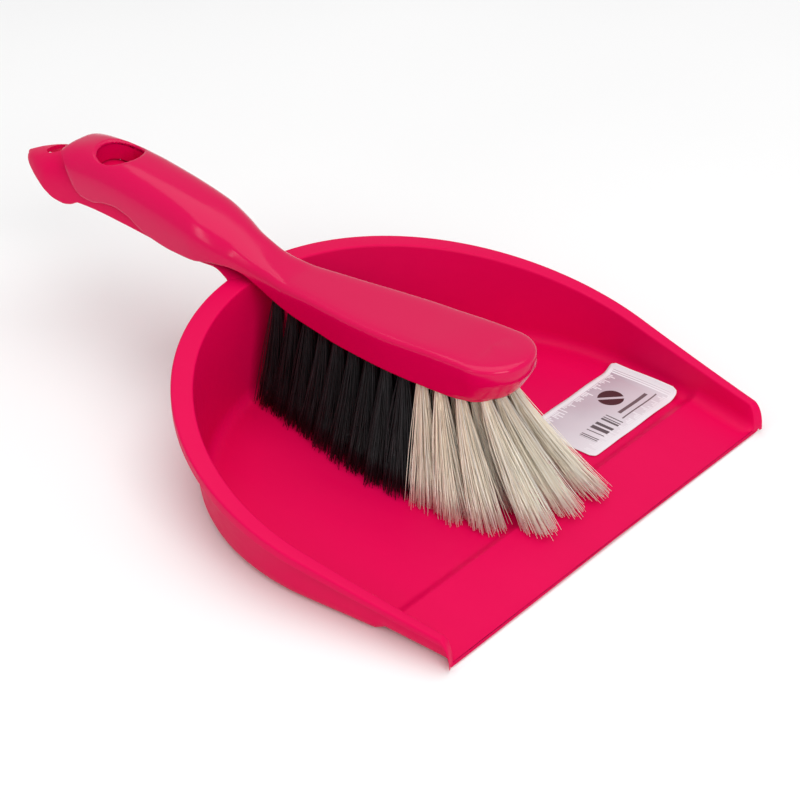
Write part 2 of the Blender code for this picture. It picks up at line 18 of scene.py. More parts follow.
import bmesh
import bpy
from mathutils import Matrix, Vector


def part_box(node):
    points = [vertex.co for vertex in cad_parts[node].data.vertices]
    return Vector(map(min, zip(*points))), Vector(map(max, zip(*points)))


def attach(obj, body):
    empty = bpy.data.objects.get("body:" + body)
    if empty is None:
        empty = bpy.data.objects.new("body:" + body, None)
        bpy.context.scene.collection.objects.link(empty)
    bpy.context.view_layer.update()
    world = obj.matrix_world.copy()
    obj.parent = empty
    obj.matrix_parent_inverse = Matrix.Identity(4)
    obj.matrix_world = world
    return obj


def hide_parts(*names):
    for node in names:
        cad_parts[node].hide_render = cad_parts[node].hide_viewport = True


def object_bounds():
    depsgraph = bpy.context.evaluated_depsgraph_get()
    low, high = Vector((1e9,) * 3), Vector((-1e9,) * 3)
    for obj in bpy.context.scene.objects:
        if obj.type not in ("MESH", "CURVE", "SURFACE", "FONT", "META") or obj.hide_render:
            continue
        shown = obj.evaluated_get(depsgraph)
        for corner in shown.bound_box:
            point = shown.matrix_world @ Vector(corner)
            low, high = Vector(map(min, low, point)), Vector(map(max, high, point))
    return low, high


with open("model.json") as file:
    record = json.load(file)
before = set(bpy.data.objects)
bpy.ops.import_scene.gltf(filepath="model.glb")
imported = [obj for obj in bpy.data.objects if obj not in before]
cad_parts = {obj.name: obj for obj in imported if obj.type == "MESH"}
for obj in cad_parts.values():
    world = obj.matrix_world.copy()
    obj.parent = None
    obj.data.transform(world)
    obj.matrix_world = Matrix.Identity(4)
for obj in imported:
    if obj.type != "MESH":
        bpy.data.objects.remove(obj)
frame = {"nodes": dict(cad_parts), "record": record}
cad_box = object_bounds()

MM = 0.001
WELD = 0.01  # vertices closer than this are one, in millimetres

# How much of a stretch a corner's curve may take up.
WIDE_RADIUS = 2.0  # corners of more than this radius are wide, in millimetres
WIDE_SHARE = 0.86
NARROW_SHARE = 0.48
LEAST_TURN = 0.2  # the sharpest corner that is worked with, in radians

Socket = bpy.types.NodeSocket
Colour = tuple[float, float, float]
Points = tuple[tuple[float, float], ...]

log = logging.getLogger("dust_pan_set")


# Shapes ------------------------------------------------------------------------------------------


@dataclass(frozen=True)
class SmoothLine:
    """A line through (place, height) points that never overshoots them."""

    points: Points

    @cached_property
    def places(self) -> list[float]:
        """The points' places, in order."""
        return [place for place, _ in self.points]

    @cached_property
    def slopes(self) -> list[float]:
        """The slope at each point, which is level at a peak or a dip.

        Returns:
            The slopes.
        """
        steps = [(b[1] - a[1]) / (b[0] - a[0]) for a, b in pairwise(self.points)]
        inner = [2.0 * a * b / (a + b) if a * b > 0.0 else 0.0 for a, b in pairwise(steps)]
        return [steps[0], *inner, steps[-1]]

    def at(self, place: float) -> float:
        """Height of the line at a place.

        Args:
            place: Where to read the line; past its ends it stays level.

        Returns:
            The height there.
        """
        place = min(max(place, self.places[0]), self.places[-1])
        i = min(bisect.bisect_right(self.places, place), len(self.points) - 1) - 1
        (x0, z0), (x1, z1) = self.points[i], self.points[i + 1]
        span = x1 - x0
        t = (place - x0) / span
        return (
            z0 * (1 + 2 * t) * (1 - t) ** 2
            + self.slopes[i] * span * t * (1 - t) ** 2
            + z1 * t * t * (3 - 2 * t)
            + self.slopes[i + 1] * span * t * t * (t - 1)
        )


def blend(low: float, high: float, share: float) -> float:
    """A value part of the way from low to high."""
    return low + (high - low) * share


def ramp(value: float, start: float, end: float) -> float:
    """0 before start, 1 after end, and a smooth rise between them."""
    t = min(max((value - start) / (end - start), 0.0), 1.0)
    return t * t * (3.0 - 2.0 * t)


def rounded(corners: Sequence[tuple[float, float, float]], steps: int) -> list[tuple[float, float]]:
    """Turns each inner corner of a path into a small curve.

    Args:
        corners: (across, up, radius) of each corner; the first and the last stay as they are.
        steps: How many stretches each curve has.

    Returns:
        The path's (across, up) points.
    """
    path = [corners[0][:2]]
    for before, corner, after in zip(corners, corners[1:], corners[2:]):
        here = Vector(corner[:2])
        back, ahead = Vector(before[:2]) - here, Vector(after[:2]) - here
        reach = corner[2] / math.tan(max(back.angle(ahead), LEAST_TURN) / 2.0)
        most = WIDE_SHARE if corner[2] > WIDE_RADIUS else NARROW_SHARE
        reach = min(reach, most * back.length, most * ahead.length)
        start, end = here + back.normalized() * reach, here + ahead.normalized() * reach
        for i in range(steps + 1):
            t = i / steps
            point = start * (1 - t) ** 2 + here * (2 * t * (1 - t)) + end * t * t
            path.append((point.x, point.y))
    path.append(corners[-1][:2])
    return path


def sheet_of(rows: Sequence[Sequence[Vector]]) -> bmesh.types.BMesh:
    """Bends a grid over rows of places, and welds the places that meet.

    Args:
        rows: Places in millimetres, the same number in each row.

    Returns:
        The sheet as a new bmesh.
    """
    bm = bmesh.new()
    bmesh.ops.create_grid(bm, x_segments=len(rows[0]) - 1, y_segments=len(rows) - 1, size=1.0)
    bm.verts.ensure_lookup_table()
    for vert, place in zip(bm.verts, chain.from_iterable(rows)):
        vert.co = place
    bmesh.ops.remove_doubles(bm, verts=bm.verts, dist=WELD)
    bmesh.ops.dissolve_degenerate(bm, edges=bm.edges, dist=WELD / 10.0)
    return bm


def linked(name: str, data: bpy.types.ID) -> bpy.types.Object:
    """Makes an object of some data and links it to the scene.

    Args:
        name: The object's name.
        data: Its data.

    Returns:
        The object.
    """
    made = bpy.data.objects.new(name, data)
    bpy.context.scene.collection.objects.link(made)
    return made


def mesh_of(bm: bmesh.types.BMesh, name: str) -> bpy.types.Mesh:
    """Turns a bmesh, which is used up, into a mesh.

    Args:
        bm: The bmesh.
        name: The mesh's name.

    Returns:
        The mesh.
    """
    mesh = bpy.data.meshes.new(name)
    bm.to_mesh(mesh)
    bm.free()
    return mesh


def peg(radius: float, height: float, place: Sequence[float], sides: int) -> bmesh.types.BMesh:
    """An upright cylinder.

    Args:
        radius: Its radius.
        height: Its height.
        place: Its middle.
        sides: How many flat sides it has.

    Returns:
        The cylinder as a new bmesh.
    """
    bm = bmesh.new()
    bmesh.ops.create_cone(
        bm, cap_ends=True, segments=sides, radius1=radius, radius2=radius, depth=height
    )
    bmesh.ops.translate(bm, verts=bm.verts, vec=place)
    return bm


def crisped(mesh: bpy.types.Mesh, sharp: float) -> None:
    """Shades a mesh smooth, with edges steeper than some degrees crisp."""
    mesh.shade_smooth()
    mesh.set_sharp_from_angle(angle=math.radians(sharp))


def seated(bm: bmesh.types.BMesh, name: str, lip_y: float, sharp: float = 38.0) -> bpy.types.Object:
    """Makes a bmesh an object in the frame, shaded smooth with crisp edges.

    Args:
        bm: The shape in millimetres, which is used up.
        name: The piece's name.
        lip_y: Where the lip's corners are along the frame's length, in millimetres.
        sharp: Edges steeper than this many degrees stay crisp.

    Returns:
        The new object, at the origin.
    """
    bmesh.ops.recalc_face_normals(bm, faces=bm.faces)
    bmesh.ops.translate(bm, verts=bm.verts, vec=(0.0, lip_y, 0.0))
    bmesh.ops.scale(bm, verts=bm.verts, vec=(MM, MM, MM))
    mesh = mesh_of(bm, name)
    crisped(mesh, sharp)
    return linked(name, mesh)


class Join(Enum):
    """What a second shape does to a piece."""

    ADD = "its closed shell goes into the same mesh"
    CUT = "it is cut out"


def joined(piece: bpy.types.Object, other: bpy.types.Object, how: Join) -> None:
    """Adds a second shape to a piece or cuts it out, and removes that shape.

    Args:
        piece: The piece that changes.
        other: The second shape, which is used up.
        how: Whether it is added or cut out.
    """
    if how is Join.ADD:
        both = bmesh.new()
        both.from_mesh(piece.data)
        both.from_mesh(other.data)
        both.to_mesh(piece.data)
        both.free()
    else:
        modifier = piece.modifiers.new("join", "BOOLEAN")
        modifier.operation = "DIFFERENCE"
        modifier.solver = "EXACT"
        modifier.object = other
        bpy.context.view_layer.update()
        graph = bpy.context.evaluated_depsgraph_get()
        result = bpy.data.meshes.new_from_object(piece.evaluated_get(graph))
        piece.modifiers.remove(modifier)
        old = piece.data
        name = old.name
        piece.data = result
        bpy.data.meshes.remove(old)
        result.name = name
    spare = other.data
    bpy.data.objects.remove(other)
    bpy.data.meshes.remove(spare)


# Finishes ----------------------------------------------------------------------------------------


class Graph:
    """The nodes of one material."""

    def __init__(self, name: str) -> None:
        """Starts a material with only its shader.

        Args:
            name: The material's name.
        """
        self.material = bpy.data.materials.new(name)
        self.material.use_nodes = True
        self.tree = self.material.node_tree
        self.shader = self.tree.nodes["Principled BSDF"]

    def node(self, kind: str, **settings: object) -> bpy.types.Node:
        """Adds a node and sets its properties.

        Args:
            kind: The node's type.
            **settings: Properties of the node.

        Returns:
            The node.
        """
        made = self.tree.nodes.new(kind)
        for key, value in settings.items():
            setattr(made, key, value)
        return made

    def wire(self, source: Socket, target: Socket) -> None:
        """Joins two sockets."""
        self.tree.links.new(source, target)

    def feed(self, socket: Socket, value: object) -> None:
        """Wires a socket, or sets it.

        Args:
            socket: The socket that is fed.
            value: Another socket, a number or a colour.
        """
        if isinstance(value, Socket):
            self.wire(value, socket)
        else:
            socket.default_value = value

    def sums(self, operation: str, *values: object) -> Socket:
        """The result of one piece of arithmetic.

        Args:
            operation: The operation's name.
            *values: Sockets or numbers.

        Returns:
            The result.
        """
        made = self.node("ShaderNodeMath", operation=operation)
        for socket, value in zip(made.inputs, values):
            self.feed(socket, value)
        return made.outputs[0]

    def place(self) -> Socket:
        """Places on the piece, in metres."""
        return self.node("ShaderNodeTexCoord").outputs["Object"]

    def noise(self, scale: float, detail: float = 2.0, stretch: Vector | None = None) -> Socket:
        """Even noise from 0 to 1.

        Args:
            scale: How many blotches there are in a metre.
            detail: How many finer layers it has.
            stretch: How much finer it is along each axis.

        Returns:
            The noise.
        """
        where = self.place()
        if stretch is not None:
            mapping = self.node("ShaderNodeMapping")
            mapping.inputs["Scale"].default_value = stretch
            self.wire(where, mapping.inputs["Vector"])
            where = mapping.outputs[0]
        made = self.node("ShaderNodeTexNoise")
        made.inputs["Scale"].default_value = scale
        made.inputs["Detail"].default_value = detail
        self.wire(where, made.inputs["Vector"])
        return made.outputs["Fac"]

    def scaled(self, value: Socket, low: float, high: float) -> Socket:
        """Spreads noise, which stays near a half, over a range.

        Args:
            value: The noise.
            low: The range's low end.
            high: The range's high end.

        Returns:
            The spread noise.
        """
        made = self.node("ShaderNodeMapRange")
        for name, end in (("From Min", 0.3), ("From Max", 0.7), ("To Min", low), ("To Max", high)):
            made.inputs[name].default_value = end
        self.wire(value, made.inputs["Value"])
        return made.outputs["Result"]

    def mixed(self, share: object, low: object, high: object) -> Socket:
        """A colour between two others.

        Args:
            share: 0 for the first colour and 1 for the second.
            low: The first colour.
            high: The second colour.

        Returns:
            The mixed colour.
        """
        made = self.node("ShaderNodeMix", data_type="RGBA")
        for name, value in (("Factor_Float", share), ("A_Color", low), ("B_Color", high)):
            socket = next(s for s in made.inputs if s.identifier == name)
            self.feed(socket, (*value, 1.0) if isinstance(value, tuple) else value)
        return next(s for s in made.outputs if s.identifier == "Result_Color")

    def bump(self, height: Socket, depth: float, under: Socket | None = None) -> Socket:
        """A normal that follows a height.

        Args:
            height: The height, from 0 to 1.
            depth: What 1 means, in millimetres.
            under: An earlier bump that this one lies on.

        Returns:
            The normal.
        """
        made = self.node("ShaderNodeBump")
        made.inputs["Strength"].default_value = 1.0
        made.inputs["Distance"].default_value = depth * MM
        self.wire(height, made.inputs["Height"])
        if under is not None:
            self.wire(under, made.inputs["Normal"])
        return made.outputs["Normal"]

    def shade(self, **values: object) -> bpy.types.Material:
        """Feeds the shader and gives the finished material.

        Args:
            **values: Shader inputs, with _ for each space of their names.

        Returns:
            The material.
        """
        for name, value in values.items():
            socket = self.shader.inputs[name.replace("_", " ")]
            self.feed(socket, (*value, 1.0) if isinstance(value, tuple) else value)
        return self.material


@dataclass(frozen=True)
class MouldedPlastic:
    """Injection moulded plastic: even colour with faint flow marks, and a fine grain."""

    name: str
    light: Colour
    deep: Colour
    gloss: float  # roughness
    gloss_change: float
    grain: float  # depth of the grain, in millimetres
    ripple: float  # depth of the slow unevenness, in millimetres
    shine: float  # strength of the reflections

    def material(self) -> bpy.types.Material:
        """Builds the finish.

        Returns:
            The material.
        """
        g = Graph(self.name)
        flow = g.noise(26.0, 3.0, Vector((1.0, 0.35, 1.0)))
        grain = g.noise(2600.0, 1.0)
        scuffs = g.noise(240.0, 4.0, Vector((1.0, 0.12, 1.0)))
        ripple = g.noise(55.0, 1.0)
        colour = g.mixed(g.scaled(flow, 0.0, 1.0), self.deep, self.light)
        rough = g.scaled(scuffs, self.gloss - self.gloss_change, self.gloss + self.gloss_change)
        normal = g.bump(grain, self.grain, g.bump(ripple, self.ripple))
        return g.shade(
            Base_Color=colour, Roughness=rough, Normal=normal, Specular_IOR_Level=self.shine
        )


@dataclass(frozen=True)
class Filament:
    """Synthetic bristle: each one its own tone, darker towards its root as painted shade."""

    name: str
    # root is darker than tip: painted shade where the block and the other fibres shade the roots
    root: Colour
    tip: Colour
    odd: Colour  # shade of the fibres that differ most
    gloss: float

    def material(self) -> bpy.types.Material:
        """Builds the finish, which reads each fibre's shade attribute and how far down it is, and
        paints shade at the root.

        Returns:
            The material.
        """
        g = Graph(self.name)
        shade = g.node("ShaderNodeAttribute", attribute_name=Bristles.SHADE).outputs["Fac"]
        down = g.node("ShaderNodeAttribute", attribute_name=Bristles.DOWN).outputs["Fac"]
        # painted shade: each fibre darkens from its tip towards its root
        body = g.mixed(down, self.root, self.tip)
        grime = g.scaled(g.noise(400.0, 2.0), 0.0, 0.25)
        colour = g.mixed(g.sums("MAXIMUM", shade, grime), body, self.odd)
        rough = g.scaled(g.noise(900.0), self.gloss - 0.06, self.gloss + 0.08)
        return g.shade(Base_Color=colour, Roughness=rough, Specular_IOR_Level=0.4)


@dataclass(frozen=True)
class PrintedPaper:
    """Coated label paper: grey tint, a ragged white border, bars, two rules and a plain mark."""

    name: str
    white: Colour = (0.80, 0.76, 0.80)
    tint: Colour = (0.42, 0.32, 0.38)
    ink: Colour = (0.055, 0.012, 0.018)
    bar: Colour = (0.10, 0.075, 0.085)
    bar_box: tuple[float, ...] = (0.15, 0.47, 0.17, 0.42)  # along, then across
    rule_boxes: tuple[tuple[float, ...], ...] = ((0.54, 0.86, 0.30, 0.35), (0.50, 0.90, 0.215, 0.235))
    rule_strength: float = 0.85
    bars_along: float = 105.0
    strokes_along: float = 62.0

    def material(self) -> bpy.types.Material:
        """Builds the print on the label's own UV map, u along it and v across it.

        Returns:
            The material.
        """
        g = Graph(self.name)
        parts = g.node("ShaderNodeSeparateXYZ")
        g.wire(g.node("ShaderNodeUVMap", uv_map=Label.PRINT).outputs[0], parts.inputs[0])
        u, v = parts.outputs[0], parts.outputs[1]
        tint = g.mixed(self.wash(g, u, v), self.white, self.tint)
        border = g.mixed(self.dashes(g, u, v), tint, self.white)
        ruled = g.mixed(self.rules(g, u, v), border, self.ink)
        barred = g.mixed(self.bars(g, u, v), ruled, self.bar)
        marked = g.mixed(self.mark(g, u, v), barred, self.ink)
        rough = g.scaled(g.noise(700.0, 3.0), 0.34, 0.48)
        normal = g.bump(g.noise(300.0, 2.0), 0.03)
        return g.shade(Base_Color=marked, Roughness=rough, Normal=normal, Specular_IOR_Level=0.4)

    def patch(self, g: Graph, u: Socket, v: Socket, box: tuple[float, ...]) -> Socket:
        """1 inside an upright box on the label and 0 elsewhere.

        Args:
            g: The material's nodes.
            u: Place along the label.
            v: Place across it.
            box: The box's start and end along, then its start and end across.

        Returns:
            The mask.
        """
        sides = [
            g.sums("MULTIPLY", g.sums("GREATER_THAN", x, low), g.sums("LESS_THAN", x, high))
            for x, low, high in ((u, *box[:2]), (v, *box[2:]))
        ]
        return g.sums("MULTIPLY", *sides)

    def wash(self, g: Graph, u: Socket, v: Socket) -> Socket:
        """The tint's strength: palest at the end by the brush, deepest along the far side.

        Args:
            g: The material's nodes.
            u: Place along the label.
            v: Place across it.

        Returns:
            The strength, from 0 to 1.
        """
        far = g.sums("MULTIPLY", g.sums("SUBTRACT", v, 0.15), 0.62)
        along = g.sums("MULTIPLY", u, 0.34)
        blotch = g.scaled(g.noise(34.0, 2.0), -0.06, 0.10)
        total = g.sums("ADD", g.sums("ADD", far, along), g.sums("ADD", blotch, 0.12))
        return g.sums("MINIMUM", g.sums("MAXIMUM", total, 0.0), 1.0)

    def dashes(self, g: Graph, u: Socket, v: Socket) -> Socket:
        """The white border, whose edge breaks into short strokes of uneven length.

        Args:
            g: The material's nodes.
            u: Place along the label.
            v: Place across it.

        Returns:
            The mask.
        """
        stroke = g.sums("MULTIPLY", u, self.strokes_along)
        index = g.sums("FLOOR", stroke)
        length = g.node("ShaderNodeTexWhiteNoise", noise_dimensions="1D")
        g.wire(index, length.inputs["W"])
        near = g.sums("SUBTRACT", 0.5, g.sums("ABSOLUTE", g.sums("SUBTRACT", v, 0.5)))
        end = g.sums("MULTIPLY", g.sums("SUBTRACT", 1.0, u), 1.7)
        edge = g.sums("MINIMUM", near, end)
        reach = g.sums("MULTIPLY_ADD", length.outputs["Value"], 0.15, 0.07)
        on = g.sums("LESS_THAN", edge, reach)
        slit = g.sums("GREATER_THAN", g.sums("FRACT", stroke), 0.34)
        solid = g.sums("LESS_THAN", edge, 0.075)
        return g.sums("MAXIMUM", solid, g.sums("MULTIPLY", on, slit))

    def bars(self, g: Graph, u: Socket, v: Socket) -> Socket:
        """A patch of thin bars of uneven width.

        Args:
            g: The material's nodes.
            u: Place along the label.
            v: Place across it.

        Returns:
            The mask.
        """
        index = g.sums("FLOOR", g.sums("MULTIPLY", u, self.bars_along))
        chance = g.node("ShaderNodeTexWhiteNoise", noise_dimensions="1D")
        g.wire(index, chance.inputs["W"])
        on = g.sums("GREATER_THAN", chance.outputs["Value"], 0.46)
        return g.sums("MULTIPLY", on, self.patch(g, u, v, self.bar_box))

    def rules(self, g: Graph, u: Socket, v: Socket) -> Socket:
        """Two plain printed lines under the mark."""
        thick, thin = (self.patch(g, u, v, box) for box in self.rule_boxes)
        return g.sums("MULTIPLY", g.sums("MAXIMUM", thick, thin), self.rule_strength)

    def mark(self, g: Graph, u: Socket, v: Socket) -> Socket:
        """A plain disc with a pale band across it.

        Args:
            g: The material's nodes.
            u: Place along the label.
            v: Place across it.

        Returns:
            The mask.
        """
        across = g.sums("MULTIPLY", g.sums("SUBTRACT", u, 0.66), 1.72)
        up = g.sums("SUBTRACT", v, 0.60)
        square = g.sums("ADD", g.sums("MULTIPLY", across, across), g.sums("MULTIPLY", up, up))
        disc = g.sums("LESS_THAN", square, 0.026)
        band = g.sums("GREATER_THAN", g.sums("ABSOLUTE", g.sums("ADD", up, across)), 0.03)
        return g.sums("MULTIPLY", disc, band)


PAN_PLASTIC = MouldedPlastic(
    "pan_plastic",
    light=(0.73, 0.0003, 0.080),
    deep=(0.70, 0.0002, 0.075),
    gloss=0.44,
    gloss_change=0.05,
    grain=0.006,
    ripple=0.03,
    shine=0.08,
)
BRUSH_PLASTIC = MouldedPlastic(
    "brush_plastic",
    light=(0.66, 0.0003, 0.078),
    deep=(0.63, 0.0002, 0.073),
    gloss=0.17,
    gloss_change=0.03,
    grain=0.0008,
    ripple=0.035,
    shine=0.22,
)
BLACK_FIBRE = Filament(
    "black_bristle",
    # darker root: painted shade at the roots
    root=(0.005, 0.004, 0.005),
    tip=(0.009, 0.008, 0.009),
    odd=(0.030, 0.026, 0.030),
    gloss=0.34,
)
CREAM_FIBRE = Filament(
    "cream_bristle",
    # darker root: painted shade at the roots
    root=(0.93, 0.78, 0.58),
    tip=(0.97, 0.90, 0.74),
    odd=(0.98, 0.96, 0.88),
    gloss=0.42,
)
LABEL_PAPER = PrintedPaper("label_paper")


def dress(piece: bpy.types.Object, material: bpy.types.Material, body: str) -> None:
    """Gives a piece its finish and the body it rides on, and reports it.

    Args:
        piece: The finished piece.
        material: Its finish.
        body: The body it moves with.
    """
    piece.data.materials.clear()
    piece.data.materials.append(material)
    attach(piece, body)
    log.info("%s: %d faces, rides on %s", piece.name, len(piece.data.polygons), body)


# Pan ---------------------------------------------------------------------------------------------


@dataclass
class Datum:
    """Where the set lies in the frame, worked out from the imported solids, in millimetres."""

    ear_reach: float = 2.7
    handle_reach: float = 149.4
    lip_y: float = field(init=False)
    tray_depth: float = field(init=False)
    rim_radius: float = field(init=False)
    nose_y: float = field(init=False)
    stock_end: float = field(init=False)
    block_base: float = field(init=False)

    def __post_init__(self) -> None:
        """Reads the solids' boxes."""
        low, high = (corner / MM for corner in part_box("dustpan"))
        self.lip_y = low.y + self.ear_reach
        self.tray_depth = high.y - self.lip_y - self.handle_reach
        self.rim_radius = (high.x - low.x) / 2.0
        low, high = (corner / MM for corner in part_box("brush_stock"))
        self.nose_y = low.y - self.lip_y
        self.stock_end = high.y - self.lip_y
        self.block_base = low.z

    def along(self, points: Iterable[tuple[float, float]], rim: float) -> tuple:
        """(part of the handle's reach, height over the rim) points as (place, height) points."""
        return tuple((self.tray_depth + a * self.handle_reach, rim + z) for a, z in points)


@dataclass
class Tray:
    """The D-shaped tray with its rim, skirt, ridge and lip."""

    datum: Datum
    flare: float = math.radians(7.45)
    rim_front: float = 14.2
    rim_back: float = 60.3
    rim_sag: float = 12.5
    flange_front: float = 4.4
    flange_back: float = 11.4
    flange_thick: float = 2.0
    skirt_front: float = 0.8
    skirt_back: float = 3.2
    skirt_thick: float = 1.5
    skirt_gap: float = 0.7
    soft_inside: float = 1.3  # roundings of the rim's inner and outer edge, its skirt and nooks
    soft_outside: float = 1.4
    soft_skirt: float = 0.5
    soft_nook: float = 0.4
    cove_over_fillet: float = 1.5
    wall: float = 2.2
    draft: float = 0.05
    floor: float = 2.2
    fillet: float = 7.4
    crest_y: float = 33.9
    crest_height: float = 4.7
    crest_thick: float = 1.9
    ramp_foot: float = 39.3
    lip_thick: float = 1.0
    ear_length: float = 5.2
    ear_height: float = 3.4
    ear_turn: float = math.radians(15.0)
    most_fillet: float = 0.55  # the largest fillet, as part of the wall's height
    arc_steps: int = 90
    curve_steps: int = 6

    @property
    def lip_half(self) -> float:
        """Half of the lip's width.

        Returns:
            The half width.
        """
        turn = self.flare
        reach = self.datum.rim_radius * (1.0 + math.sin(turn)) - self.datum.tray_depth * math.sin(turn)
        return reach / math.cos(turn)

    def share(self, y: float) -> float:
        """How far back a place is, from 0 at the lip to 1 at the back of the rim."""
        return max(y, 0.0) / self.datum.tray_depth

    def rim_height(self, y: float) -> float:
        """Height of the rim's top where its outer edge is at y.

        Args:
            y: Distance from the lip.

        Returns:
            The height.
        """
        t = self.share(y)
        height = blend(self.rim_front, self.rim_back, t) - self.rim_sag * t * (1.0 - t)
        ahead = (self.ear_length - self.datum.ear_reach - y) / self.ear_length
        if ahead > 0.0:
            height = blend(self.ear_height, height, math.sqrt(max(0.0, 1.0 - ahead * ahead)))
        return height

    def floor_heights(self, y: float) -> tuple[float, float]:
        """Heights of the floor's upper and lower faces.

        Args:
            y: Distance from the lip.

        Returns:
            The upper and the lower height.
        """
        crest = self.crest_height - self.crest_thick
        if y >= self.ramp_foot:
            return self.floor, 0.0
        if y >= self.crest_y:
            t = (y - self.crest_y) / (self.ramp_foot - self.crest_y)
            return blend(self.crest_height, self.floor, ramp(t, -0.25, 1.0)), blend(crest, 0.0, t)
        t = y / self.crest_y
        return blend(self.lip_thick, self.crest_height, t), max(0.0, crest * t)

    def stations(self) -> list[tuple[float, float, float, float]]:
        """Half of the rim's outer edge, from lip to back: (x, y, inward x, inward y).

        Returns:
            The stations, in order.
        """
        radius = self.datum.rim_radius
        centre_y = self.datum.tray_depth - radius
        ear_end = self.ear_length - self.datum.ear_reach
        inset = (self.flange_front + self.fillet) * math.sin(self.flare)
        crest, foot = self.crest_y - inset, self.ramp_foot - inset
        straight_end = centre_y - radius * math.sin(self.flare)
        ear = [self.ear_length * (i / 12.0) ** 2 - self.datum.ear_reach for i in range(13)]
        front = [blend(ear_end, crest - 1.2, i / 10.0) for i in range(1, 11)]
        ridge = [blend(crest - 0.8, foot + 0.6, i / 9.0) for i in range(10)]
        side = [blend(foot + 0.6, straight_end, i / 24.0) for i in range(1, 24)]
        found = []
        for y in ear + front + ridge + side:
            turn = self.flare + self.ear_turn * max(0.0, (ear_end - y) / self.ear_length)
            x = self.lip_half + y * math.tan(self.flare)
            found.append((x, y, -math.cos(turn), math.sin(turn)))
        quarter = math.pi / 2.0 + self.flare
        for i in range(self.arc_steps + 1):
            turn = quarter * i / self.arc_steps - self.flare
            x, y = math.cos(turn), math.sin(turn)
            found.append((radius * x, centre_y + radius * y, -x, -y))
        return found

    def section(self, x: float, y: float, inward_x: float, inward_y: float) -> list[Vector]:
        """The section at one station, from the floor's middle over the rim to the underside.

        Args:
            x: Place of the rim's outer edge.
            y: Place of the rim's outer edge.
            inward_x: Direction that leads inwards from there.
            inward_y: Direction that leads inwards from there.

        Returns:
            Places along the section.
        """
        rim = self.rim_height(y)
        flange = blend(self.flange_front, self.flange_back, self.share(y))
        top, bottom = self.floor_heights(y + (flange + self.fillet) * inward_y)
        fillet = min(self.fillet, (rim - top) * self.most_fillet)
        wall_foot = flange + self.draft * (rim - top)
        foot = wall_foot + fillet
        drop = blend(self.skirt_front, self.skirt_back, min(1.0, 2.0 * self.share(y)))
        skirt = max(rim - self.flange_thick - drop, bottom + 0.2)
        under = max(rim - self.flange_thick, skirt + 0.1)
        outer = max(flange - self.wall, self.skirt_thick + self.skirt_gap)
        outer_foot = outer + self.draft * (under - bottom)
        cove = fillet + self.cove_over_fillet
        path = rounded(
            (
                (foot, top, 0.0),
                (wall_foot, top, fillet),
                (flange, rim, self.soft_inside),
                (0.0, rim, self.soft_outside),
                (0.0, skirt, self.soft_skirt),
                (self.skirt_thick, skirt, self.soft_skirt),
                (self.skirt_thick, under, self.soft_nook),
                (outer, under, self.soft_nook),
                (outer_foot, bottom, cove),
                (max(foot, outer_foot + cove / WIDE_SHARE), bottom, 0.0),
            ),
            self.curve_steps,
        )
        wall = [Vector((x + u * inward_x, y + u * inward_y, z)) for u, z in path]
        if abs(x) < 1e-6:
            for place in wall:
                place.x = 0.0
        middle = (0.0, 0.25, 0.5, 0.75)
        upper = [Vector((wall[0].x * m, wall[0].y, wall[0].z)) for m in middle]
        lower = [Vector((wall[-1].x * m, wall[-1].y, wall[-1].z)) for m in reversed(middle)]
        return upper + wall + lower

    def shape(self) -> bmesh.types.BMesh:
        """The whole tray as one closed shell.

        Returns:
            The tray as a new bmesh.
        """
        bm = sheet_of([self.section(*station) for station in self.stations()])
        whole = bm.verts[:] + bm.edges[:] + bm.faces[:]
        bmesh.ops.mirror(bm, geom=whole, axis="X", merge_dist=WELD)
        front = [edge for edge in bm.edges if edge.is_boundary]
        bmesh.ops.holes_fill(bm, edges=front, sides=0)
        return bm


def arch(
    half: float, crown: float, spring: float, power: float, steps: int, start: float = 0.0
) -> list[tuple[float, float]]:
    """The rounded top of a section, from its left side to its right.

    Args:
        half: Half width where the top starts.
        crown: Height of its middle.
        spring: Height where it starts.
        power: Its squareness, where 2 is an ellipse.
        steps: How many stretches it has.
        start: How far round its sides are cut off, as an angle.

    Returns:
        (across, up) points.
    """
    points = []
    for i in range(steps + 1):
        turn = blend(math.pi - start, start, i / steps)
        across, up = math.cos(turn), max(math.sin(turn), 0.0)
        x = half * math.copysign(abs(across) ** (2.0 / power), across)
        points.append((x, spring + (crown - spring) * up ** (2.0 / power)))
    return points


def shoulder(across: float, half: float, rise: float, power: float) -> float:
    """How far a rounded top has dropped at a place across it.

    Args:
        across: Distance from the middle.
        half: Half width of the top.
        rise: Height of the top.
        power: Its squareness.

    Returns:
        The drop from the crown.
    """
    share = min(abs(across) / half, 1.0)
    return rise * (1.0 - (1.0 - share**power) ** (1.0 / power))


